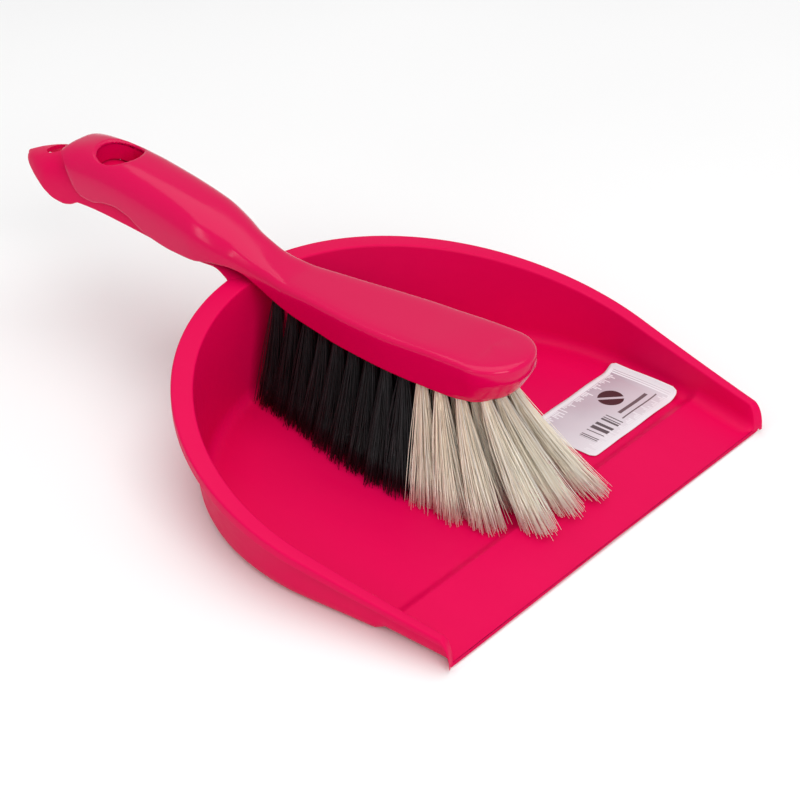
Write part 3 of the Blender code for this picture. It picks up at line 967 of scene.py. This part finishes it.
def shell_loop(
    half: float,
    crown: float,
    edge: float,
    wall: float,
    roof: float,
    power: float,
    rise: float,
    chin: float = 0.0,
    steps: int = 44,
) -> list[tuple[float, float]]:
    """A closed section: rounded top, sides, rounded lower edges and the hollow's roof.

    Args:
        half: Half width where the top starts.
        crown: Height of the top.
        edge: Height of the lower edge.
        wall: Thickness of the shell.
        roof: Height of the hollow's roof, or of the lower edge where it is solid.
        power: Squareness of the top.
        rise: Height of the rounded top.
        chin: How far the sides draw in towards the lower edge.
        steps: How many stretches the top has.

    Returns:
        (across, up) points, the first and the last in one place.
    """
    spring = crown - rise
    soft = min(wall / 2.0, (crown - edge) / 3.0)
    start = math.asin(max(0.0, (edge + soft - spring) / (crown - spring)) ** (power / 2.0))
    foot = half * math.cos(start) ** (2.0 / power) - chin
    top = max(spring, edge + soft)
    side = [i / 7.0 for i in range(7)]
    right = [(foot + chin * (1.0 - p), edge + (top - edge) * (1.0 - p) ** 1.5) for p in side[1:]]
    hollow = roof > edge + wall
    corner = []
    sweep = math.pi if hollow else math.pi / 2.0
    for i in range(7):
        turn = sweep * i / 6.0
        corner.append((foot - soft * (1.0 - math.cos(turn)), edge + soft * (1.0 - math.sin(turn))))
    right = [point for point in right if point[1] > edge + soft] + [corner[0]] * sum(
        point[1] <= edge + soft for point in right
    )
    right += corner[1:]
    left = [(-x, z) for x, z in reversed(right)]
    inner_half = max(right[-1][0], 0.1)
    inner_base = right[-1][1]
    inner_spring = max(inner_base, roof - max(rise - wall, 0.5)) if hollow else inner_base
    inner_crown = max(roof, inner_base)
    inner = arch(inner_half, inner_crown, inner_spring, power, steps)[1:-1]
    outer = arch(half, crown, spring, power, steps, start)
    loop = outer + right + inner[::-1] + left
    return loop + [loop[0]]


@dataclass
class PanHandle:
    """The pan's hollow handle, from its root in the rim to its rounded tip."""

    datum: Datum
    rim: float
    half: float = 15.0
    wall: float = 2.2
    power: float = 2.6
    end_length: float = 26.0
    end_power: float = 1.6
    root_radius: float = 15.0
    root_inset: float = 8.0
    hole_radius: float = 5.5
    hole_inset: float = 21.0
    hole_rise: float = 24.0  # from the rim to the middle of the cut
    hole_depth: float = 60.0
    hole_sides: int = 64
    crown_points: Points = (
        (-0.06, -0.8), (0.0, 1.6), (0.05, 4.2), (0.11, 9.0), (0.17, 14.0), (0.25, 18.5),
        (0.36, 21.8), (0.5, 24.2), (0.68, 24.9), (0.8, 23.6), (0.88, 21.0), (0.95, 17.6), (1.0, 14.5),
    )
    edge_points: Points = (
        (-0.06, -3.0), (0.02, -1.5), (0.09, 1.2), (0.25, 3.0), (0.45, 5.4), (0.6, 6.5),
        (0.67, 6.2), (0.71, 3.4), (0.75, 2.1), (0.79, 2.6), (0.83, 5.2), (0.87, 8.6),
        (0.92, 11.4), (1.0, 13.0),
    )
    rise_points: Points = ((0.0, 16.0), (0.8, 16.0), (0.92, 9.5), (1.0, 3.0))

    @property
    def root_y(self) -> float:
        """Where the fillets at the rim end and the handle's straight sides start."""
        across, away = self.half + self.root_radius, self.datum.rim_radius + self.root_radius
        return self.datum.tray_depth - self.datum.rim_radius + math.sqrt(away**2 - across**2)

    def half_at(self, y: float) -> float:
        """Half width at a place: a fillet at the rim, straight sides and a rounded tip.

        Args:
            y: Distance from the lip.

        Returns:
            The half width.
        """
        root = self.root_y
        tip = self.datum.tray_depth + self.datum.handle_reach
        if y < root:
            away = self.datum.rim_radius + self.root_radius
            most = self.root_radius * (away - self.root_radius + root - self.datum.tray_depth) / away
            reach = min(root - y, most)
            return self.half + self.root_radius - math.sqrt(self.root_radius**2 - reach**2)
        end = max(0.0, (y - tip + self.end_length) / self.end_length)
        return self.half * max(0.03, 1.0 - end**self.end_power) ** (1.0 / self.end_power)

    def top_at(self, x: float, y: float) -> float:
        """Height of the handle's outside at a place.

        Args:
            x: Distance from the middle.
            y: Distance from the lip.

        Returns:
            The height.
        """
        crown = SmoothLine(self.datum.along(self.crown_points, self.rim)).at(y)
        rise = SmoothLine(self.datum.along(self.rise_points, 0.0)).at(y)
        return crown - shoulder(x, self.half_at(y), rise, self.power)

    def shape(self) -> bmesh.types.BMesh:
        """The handle as one closed shell, without its hanging hole.

        Returns:
            The handle as a new bmesh.
        """
        depth = self.datum.tray_depth
        tip = depth + self.datum.handle_reach
        crown = SmoothLine(self.datum.along(self.crown_points, self.rim))
        edge = SmoothLine(self.datum.along(self.edge_points, self.rim))
        start = depth - self.root_inset
        rise = SmoothLine(self.datum.along(self.rise_points, 0.0))
        hollow_start, hollow_end = (depth + self.root_y) / 2.0, tip - 2.0 * self.wall
        rows = []
        for i in range(111):
            y = start + (tip - start) * (1.0 - (1.0 - i / 110.0) ** 1.25)
            top = crown.at(y)
            base = min(edge.at(y), top - 1.0)
            opened = min(ramp(y, hollow_start - 1.0, hollow_start + 3.0), 1.0)
            closed = ramp(y, hollow_end - 3.0, hollow_end + 1.0)
            roof = blend(base, top - self.wall, opened * (1.0 - closed))
            loop = shell_loop(
                self.half_at(y), top, base, self.wall, roof, self.power, rise.at(y)
            )
            rows.append([Vector((x, y, z)) for x, z in loop])
        bm = sheet_of(rows)
        bmesh.ops.holes_fill(bm, edges=bm.edges, sides=0)
        return bm


@dataclass
class DustPan:
    """The pan: one moulding of tray and handle."""

    datum: Datum
    tray: Tray = field(init=False)
    handle: PanHandle = field(init=False)
    sharp: float = 32.0  # edges steeper than this stay crisp, in degrees

    def __post_init__(self) -> None:
        """Sets out the tray and the handle."""
        self.tray = Tray(self.datum)
        self.handle = PanHandle(self.datum, self.tray.rim_back)

    def build(self) -> None:
        """Builds, joins and dresses the pan."""
        lip_y = self.datum.lip_y
        grip = seated(self.handle.shape(), "handle_form", lip_y)
        tip = self.datum.tray_depth + self.datum.handle_reach
        spot = (0.0, tip - self.handle.hole_inset, self.tray.rim_back + self.handle.hole_rise)
        hole = peg(self.handle.hole_radius, self.handle.hole_depth, spot, self.handle.hole_sides)
        joined(grip, seated(hole, "hole_form", lip_y), Join.CUT)
        pan = seated(self.tray.shape(), "pan_moulding", lip_y)
        joined(pan, grip, Join.ADD)
        crisped(pan.data, self.sharp)
        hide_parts("dustpan")
        dress(pan, PAN_PLASTIC.material(), "pan")


# Brush -------------------------------------------------------------------------------------------


@dataclass
class BrushStock:
    """The brush's block, neck and hollow handle."""

    datum: Datum
    rim: float
    nose_radius: float = 20.0
    half: float = 20.0
    neck_half: float = 12.3
    neck_inset: float = 18.0
    nested_half: float = 17.8
    wall: float = 2.2
    hollow_start: float = -8.0
    hole_radius: float = 11.5
    hole_inset: float = 31.0
    hole_soft: float = 1.7
    collar_wall: float = 1.4
    collar_gap: float = 0.7
    collar_steps: int = 96
    hole_rise: float = 38.0  # from the rim to the middle of the cut
    hole_depth: float = 26.0
    sharp: float = 40.0  # edges steeper than this stay crisp, in degrees
    top_points: Points = ((0.0, 21.2), (32.0, 20.4), (60.0, 18.5), (100.0, 16.8), (132.0, 16.3))
    under_points: Points = ((100.0, 0.0), (125.0, 2.0), (142.0, 5.6), (152.0, 9.2))
    chin_points: Points = ((0.0, 10.5), (15.7, 8.9), (31.4, 3.6), (42.0, 1.2), (64.0, 0.0))
    crown_points: Points = (
        (-0.158, 10.2), (-0.104, 12.0), (-0.044, 15.4), (0.029, 20.2), (0.096, 24.4),
        (0.163, 27.7), (0.264, 31.0), (0.364, 33.4), (0.465, 35.2), (0.565, 36.0),
        (0.652, 35.4), (0.72, 33.6), (0.745, 32.4), (0.759, 30.8),
    )
    edge_points: Points = (
        (-0.058, 4.2), (0.0, 5.4), (0.05, 5.6), (0.13, 3.9), (0.217, 4.2), (0.297, 5.9),
        (0.355, 8.6), (0.415, 13.2), (0.478, 15.0), (0.531, 14.2), (0.578, 12.4),
        (0.625, 13.0), (0.66, 16.2), (0.69, 22.5), (0.72, 27.4), (0.759, 29.6),
    )
    rise_points: Points = (
        (0.264, 19.0), (0.565, 19.0), (0.652, 18.4), (0.69, 14.9), (0.72, 11.6), (0.759, 5.8),
    )

    def lines(self) -> dict[str, SmoothLine]:
        """The lines that the sections follow.

        Returns:
            Each line under its name.
        """
        nose, base, depth = self.datum.nose_y, self.datum.block_base, self.datum.tray_depth
        reach, nested = self.datum.handle_reach, self.nested_half
        top = tuple((nose + y, base + z) for y, z in self.top_points)
        under = tuple((nose + y, base + z) for y, z in self.under_points)
        half = (
            (nose + self.nose_radius, self.half),
            (nose + 62.0, self.half),
            (nose + 88.0, self.half - 1.6),
            (nose + 110.0, self.half - 4.2),
            (nose + 130.0, self.neck_half + 1.6),
            (depth - self.neck_inset, self.neck_half),
            (depth - 4.0, self.neck_half + 1.0),
            (depth + 0.07 * reach, nested - 1.4),
            (depth + 0.15 * reach, nested),
            (depth + 0.64 * reach, nested),
            (depth + 0.71 * reach, nested - 0.9),
            (depth + 0.745 * reach, nested - 2.8),
            (self.datum.stock_end, nested - 3.8),
        )
        neck = depth - self.neck_inset
        return {
            "top": SmoothLine(top + self.datum.along(self.crown_points, self.rim)),
            "edge": SmoothLine(under + self.datum.along(self.edge_points, self.rim)),
            "half": SmoothLine(half),
            "power": SmoothLine(((nose, 7.0), (nose + 110.0, 6.0), (neck, 3.4), (depth, 2.6))),
            "rise": SmoothLine(
                ((nose, 7.0), (nose + 110.0, 8.0), (neck, 12.0), (depth + 20.0, 18.7))
                + self.datum.along(self.rise_points, 0.0)
            ),
            "chin": SmoothLine(self.chin_points),
        }

    @property
    def hole_y(self) -> float:
        """Place of the hanging hole."""
        return self.datum.stock_end - self.hole_inset

    def dip(self, x: float, y: float) -> float:
        """How far the hanging hole's soft edge lowers the top at a place.

        Args:
            x: Distance from the middle.
            y: Distance from the lip.

        Returns:
            The drop.
        """
        out = math.hypot(x, y - self.hole_y) - self.hole_radius
        if out >= self.hole_soft:
            return 0.0
        out = max(out, 0.0)
        return self.hole_soft - math.sqrt(self.hole_soft**2 - (self.hole_soft - out) ** 2)

    def row(self, lines: dict[str, SmoothLine], y: float, turn: float) -> list[Vector]:
        """One closed section of the stock.

        Args:
            lines: The lines that it follows.
            y: Its place, where it is straight across.
            turn: On the round nose, how far it is from the middle line; a right angle behind it.

        Returns:
            Places along the section.
        """
        nose = self.datum.nose_y
        spine_y = max(y, nose + self.nose_radius)
        out = turn * self.nose_radius if y <= nose + self.nose_radius else y - nose + 11.4
        reach = self.nose_radius if y <= nose + self.nose_radius else lines["half"].at(y)
        outline_y = spine_y - reach * math.cos(turn)
        top, edge = lines["top"].at(outline_y), lines["edge"].at(outline_y)
        edge = min(edge, top - 1.2)
        opened = ramp(y, self.datum.tray_depth + self.hollow_start - 1.0, self.datum.tray_depth - 4.0)
        closed = ramp(y, self.datum.stock_end - 6.0, self.datum.stock_end - 3.0)
        roof = blend(edge, top - self.wall, opened * (1.0 - closed))
        loop = shell_loop(
            reach,
            top,
            edge,
            self.wall,
            roof,
            lines["power"].at(y),
            lines["rise"].at(y),
            lines["chin"].at(out),
            steps=64,
        )
        places = []
        for i, (across, z) in enumerate(loop):
            x = across * math.sin(turn)
            place_y = spine_y - abs(across) * math.cos(turn)
            lowered = self.dip(x, place_y) if i <= 64 else 0.0
            places.append(Vector((x, place_y, z - lowered)))
        return places

    def shape(self) -> bmesh.types.BMesh:
        """The stock as one closed shell, without its hanging hole.

        Returns:
            The stock as a new bmesh.
        """
        lines = self.lines()
        nose, end = self.datum.nose_y + self.nose_radius, self.datum.stock_end
        rows = [self.row(lines, nose, math.pi / 2.0 * i / 28.0) for i in range(29)]
        handle_start = self.datum.tray_depth + 20.0
        places = [blend(nose, handle_start, i / 90.0) for i in range(1, 91)]
        places += [blend(handle_start, end - 12.0, i / 80.0) for i in range(1, 81)]
        places += [end - 12.0 * (1.0 - i / 22.0) ** 1.4 for i in range(1, 23)]
        rows += [self.row(lines, y, math.pi / 2.0) for y in places]
        bm = sheet_of(rows)
        bmesh.ops.holes_fill(bm, edges=bm.edges, sides=0)
        return bm

    def collar(self) -> bmesh.types.BMesh:
        """The tube under the hanging hole, which ends just over the pan's handle.

        Returns:
            The tube as a new bmesh.
        """
        lines, below = self.lines(), PanHandle(self.datum, self.rim)
        rows = []
        for i in range(self.collar_steps + 1):
            turn = math.tau * (i % self.collar_steps) / self.collar_steps
            ring = []
            for radius in (self.hole_radius, self.hole_radius + self.collar_wall):
                x, y = radius * math.cos(turn), self.hole_y + radius * math.sin(turn)
                drop = shoulder(x, lines["half"].at(y), lines["rise"].at(y), lines["power"].at(y))
                top = lines["top"].at(y) - drop - self.hole_soft - 0.2
                ring.append((x, y, top, min(below.top_at(x, y) + self.collar_gap, top - 0.5)))
            (x0, y0, top0, low0), (x1, y1, top1, low1) = ring
            corners = ((x0, y0, top0), (x1, y1, top1), (x1, y1, low1), (x0, y0, low0))
            rows.append([Vector(corner) for corner in (*corners, corners[0])])
        return sheet_of(rows)

    def build(self) -> None:
        """Builds and dresses the stock."""
        stock = seated(self.shape(), "brush_moulding", self.datum.lip_y)
        spot = (0.0, self.hole_y, self.rim + self.hole_rise)
        hole = peg(self.hole_radius, self.hole_depth, spot, self.collar_steps)
        joined(stock, seated(hole, "hole_form", self.datum.lip_y), Join.CUT)
        joined(stock, seated(self.collar(), "collar_form", self.datum.lip_y), Join.ADD)
        crisped(stock.data, self.sharp)
        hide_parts("brush_stock")
        dress(stock, BRUSH_PLASTIC.material(), "brush")


@dataclass
class Bristles:
    """The bundles of loose fibres, one for each packed bundle."""

    SHADE = "shade"
    DOWN = "down"

    fibres: int = 190
    thickness: float = 0.41
    joints: int = 6
    stray: float = 0.05
    uneven: float = 4.2
    root_radius: float = 2.2
    fan: float = 1.5  # how far the tips spread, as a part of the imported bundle's tip
    stray_fan: tuple[float, float] = (1.6, 2.2)
    spread: float = 0.9
    held: float = 7.5  # how much of each fibre's top the block holds

    def template(self) -> bpy.types.Mesh:
        """One upright three-sided fibre of height 1, root at 0 and tip at 1.

        Returns:
            The fibre.
        """
        bm = bmesh.new()
        bmesh.ops.create_cone(
            bm, cap_ends=True, segments=3, radius1=1.0, radius2=0.72, depth=1.0
        )
        bmesh.ops.translate(bm, verts=bm.verts, vec=(0.0, 0.0, 0.5))
        upright = [e for e in bm.edges if abs(e.verts[0].co.z - e.verts[1].co.z) > 0.5]
        bmesh.ops.subdivide_edges(bm, edges=upright, cuts=self.joints - 1)
        return mesh_of(bm, "fibre")

    def ends(self, node: str) -> tuple[Vector, Vector, Vector]:
        """Where a packed bundle starts and ends.

        Args:
            node: The bundle's name.

        Returns:
            The middle of its top, the middle of its tip, and the tip's half sizes, in millimetres.
        """
        places = [v.co / MM for v in frame["nodes"][node].data.vertices]
        high, low = max(p.z for p in places), min(p.z for p in places)
        top = [p for p in places if p.z > high - 0.2]
        tip = [p for p in places if p.z < low + 0.2]
        middle = [sum(ring, Vector()) / len(ring) for ring in (top, tip)]
        spread = Vector(
            max(abs(p[axis] - middle[1][axis]) for p in tip) for axis in range(3)
        )
        return middle[0], middle[1], spread

    def fibre(self, rng: random.Random, top: Vector, tip: Vector, spread: Vector) -> Callable:
        """Draws one fibre's line at random.

        Args:
            rng: Where the random numbers come from.
            top: Middle of the bundle's top.
            tip: Middle of the bundle's tip.
            spread: Half sizes of the tip.

        Returns:
            A function from 0 at the root to 1 at the tip that gives the fibre's place.
        """
        turn, out = rng.uniform(0.0, math.tau), math.sqrt(rng.random())
        fan = self.fan if rng.random() > self.stray else rng.uniform(*self.stray_fan)
        root = top + Vector((math.cos(turn), math.sin(turn), 0.0)) * out * self.root_radius
        root.z = top.z - rng.uniform(0.0, 1.0)
        end = Vector(
            (
                tip.x + math.cos(turn) * out * spread.x * fan + rng.gauss(0.0, self.spread),
                tip.y + math.sin(turn) * out * spread.y * fan + rng.gauss(0.0, self.spread),
                tip.z + self.uneven * rng.random() ** 2.2,
            )
        )
        leave = top.z - self.held
        bow = Vector((rng.gauss(0.0, 0.7), rng.gauss(0.0, 0.7), 0.0))
        kink = rng.uniform(1.1, 1.45)

        def line(t: float) -> Vector:
            """The fibre's place at t.

            Args:
                t: 0 at the root and 1 at the tip.

            Returns:
                The place.
            """
            z = blend(root.z, end.z, t)
            free = min(max((leave - z) / (leave - end.z), 0.0), 1.0)
            share = free**kink
            place = root.lerp(end, share) + bow * math.sin(math.pi * free)
            place.z = z
            return place

        return line

    def bundle(self, node: str, template: bpy.types.Mesh, seed: int) -> bpy.types.Object:
        """Builds one bundle.

        Args:
            node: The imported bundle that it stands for.
            template: The fibre that is bent again and again.
            seed: Start of its random numbers.

        Returns:
            The bundle.
        """
        rng = random.Random(seed)
        top, tip, spread = self.ends(node)
        bm = bmesh.new()
        shade = bm.verts.layers.float.new(self.SHADE)
        down = bm.verts.layers.float.new(self.DOWN)
        for _ in range(self.fibres):
            before = len(bm.verts)
            bm.from_mesh(template)
            bm.verts.ensure_lookup_table()
            line = self.fibre(rng, top, tip, spread)
            tone, width = rng.random() ** 2.5, self.thickness / 2.0 * rng.uniform(0.8, 1.15)
            for vert in bm.verts[before:]:
                t = vert.co.z
                place = line(t)
                vert.co = place + Vector((vert.co.x, vert.co.y, 0.0)) * width
                vert[shade], vert[down] = tone, t
        bmesh.ops.scale(bm, verts=bm.verts, vec=(MM, MM, MM))
        mesh = mesh_of(bm, node + "_fibres")
        mesh.shade_smooth()
        return linked(node + "_fibres", mesh)

    def build(self) -> None:
        """Builds and dresses every bundle."""
        slots = {part["node"]: part["material_slot"] for part in frame["record"]["subparts"]}
        finishes = {f.name: f.material() for f in (BLACK_FIBRE, CREAM_FIBRE)}
        template = self.template()
        nodes = sorted(node for node in frame["nodes"] if node.startswith("tuft_"))
        for seed, node in enumerate(nodes):
            piece = self.bundle(node, template, seed)
            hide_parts(node)
            dress(piece, finishes[slots[node]], "brush")
        bpy.data.meshes.remove(template)


# Label -------------------------------------------------------------------------------------------


@dataclass
class Label:
    """The paper label on the tray's floor, whose outer end climbs the wall."""

    PRINT = "print"

    datum: Datum
    thick: float = 0.12
    corner: float = 3.0
    bend: float = 8.4
    steep: float = math.radians(58.0)
    length: float = 68.0
    lift: float = 0.2
    wave: float = 0.35
    steps_along: int = 68
    steps_across: int = 30

    def build(self) -> None:
        """Builds and dresses the label."""
        low, high = (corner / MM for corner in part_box("paper_label"))
        low.y -= self.datum.lip_y
        high.y -= self.datum.lip_y
        steep, length, width = self.steep, self.length, high.y - low.y
        rise = high.z - low.z
        curl_flat = self.bend * math.sin(steep)
        flat = high.x - low.x - curl_flat - (rise - self.bend * (1 - math.cos(steep))) / math.tan(steep)
        rows = []
        for i in range(self.steps_across + 1):
            v = i / self.steps_across
            row = []
            for k in range(self.steps_along + 1):
                u = k / self.steps_along
                run = length * u
                turn = min(max(0.0, (run - flat) / self.bend), steep)
                curl = max(0.0, run - flat - self.bend * turn)
                x = low.x + min(run, flat) + self.bend * math.sin(turn) + curl * math.cos(turn)
                z = low.z + self.bend * (1.0 - math.cos(turn)) + curl * math.sin(turn)
                wave = self.wave * math.sin(7.0 * u + 3.0 * v) ** 2 * ramp(u, 0.1, 0.4)
                end = max(0.0, self.corner - min(run, length - run))
                inset = self.corner - math.sqrt(self.corner**2 - end**2)
                y = low.y + inset + (width - 2.0 * inset) * v
                row.append(Vector((x, y, z + wave + self.lift)))
            rows.append(row)
        bm = sheet_of(rows)
        uv = bm.loops.layers.uv.new(self.PRINT)
        bm.verts.ensure_lookup_table()
        across = self.steps_along + 1
        for face in bm.faces:
            for loop in face.loops:
                index = loop.vert.index
                loop[uv].uv = (
                    index % across / self.steps_along,
                    index // across / self.steps_across,
                )
        piece = seated(bm, "label_sheet", self.datum.lip_y)
        paper = piece.modifiers.new("paper", "SOLIDIFY")
        paper.thickness = self.thick * MM
        paper.offset = 0.0
        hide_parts("paper_label")
        dress(piece, LABEL_PAPER.material(), "pan")


# Surroundings ------------------------------------------------------------------------------------


@dataclass(frozen=True)
class SoftBox:
    """One soft light."""

    name: str
    place: tuple[float, float, float]
    size: tuple[float, float]
    power: float

    def build(self, target: Vector) -> None:
        """Hangs the light and turns it to the target.

        Args:
            target: Where it points.
        """
        data = bpy.data.lights.new(self.name, "AREA")
        data.shape = "RECTANGLE"
        data.size, data.size_y = self.size
        data.energy = self.power
        light = linked(self.name, data)
        light.location = self.place
        light.rotation_euler = (target - Vector(self.place)).to_track_quat("-Z", "Y").to_euler()


@dataclass
class Studio:
    """The floor, the lights and the camera."""

    sky: float = 0.50
    lens: float = 108.0
    eye: tuple[float, float, float] = (-0.6989, -0.66825, 0.6234)
    aim: tuple[float, float, float] = (0.00429, -0.05633, 0.020)
    roll: float = math.radians(-1.0)
    lights: tuple[SoftBox, ...] = (
        SoftBox("overhead", (0.15, 0.05, 1.5), (1.6, 1.6), 12.0),
        SoftBox("front", (-0.8, -1.6, 1.2), (1.3, 1.1), 20.0),
        SoftBox("near_left", (-1.5, 0.3, 0.9), (0.12, 1.0), 2.0),
    )

    def floor(self) -> None:
        """Lays a plain pale floor."""
        bm = bmesh.new()
        bmesh.ops.create_grid(bm, x_segments=1, y_segments=1, size=4.0)
        bmesh.ops.translate(bm, verts=bm.verts, vec=(0.0, 0.0, cad_box[0][2] - 0.0005))
        mesh = mesh_of(bm, "floor")
        floor = linked("floor", mesh)
        g = Graph("pale_floor")
        tone = g.scaled(g.noise(3.0), 0.0, 1.0)
        colour = g.mixed(tone, (0.90, 0.90, 0.90), (0.93, 0.93, 0.93))
        mesh.materials.append(g.shade(Base_Color=colour, Roughness=0.9, Specular_IOR_Level=0.1))

    def world(self) -> None:
        """Sets an even, soft sky."""
        world = bpy.data.worlds.new("studio")
        world.use_nodes = True
        background = world.node_tree.nodes["Background"]
        background.inputs["Color"].default_value = (1.0, 1.0, 1.0, 1.0)
        background.inputs["Strength"].default_value = self.sky
        bpy.context.scene.world = world
        bpy.context.scene.view_settings.view_transform = "Standard"

    def camera(self) -> None:
        """Stands the camera where the set is seen from."""
        data = bpy.data.cameras.new("camera")
        data.lens = self.lens
        data.sensor_width = 36.0
        data.clip_start, data.clip_end = 0.05, 20.0
        eye, aim = Vector(self.eye), Vector(self.aim)
        camera = linked("camera", data)
        camera.location = eye
        camera.rotation_euler = (aim - eye).to_track_quat("-Z", "Y").to_euler()
        camera.rotation_euler.rotate_axis("Z", self.roll)
        bpy.context.scene.camera = camera

    def build(self) -> None:
        """Builds the surroundings."""
        self.camera()
        self.floor()
        self.world()
        for light in self.lights:
            light.build(Vector(self.aim))


def main() -> None:
    """Builds the surroundings and each piece in order."""
    logging.basicConfig(level=logging.INFO, format="%(name)s %(message)s")
    Studio().build()
    datum = Datum()
    DustPan(datum).build()
    BrushStock(datum, Tray(datum).rim_back).build()
    Bristles().build()
    Label(datum).build()


if __name__ == "__main__":
    main()
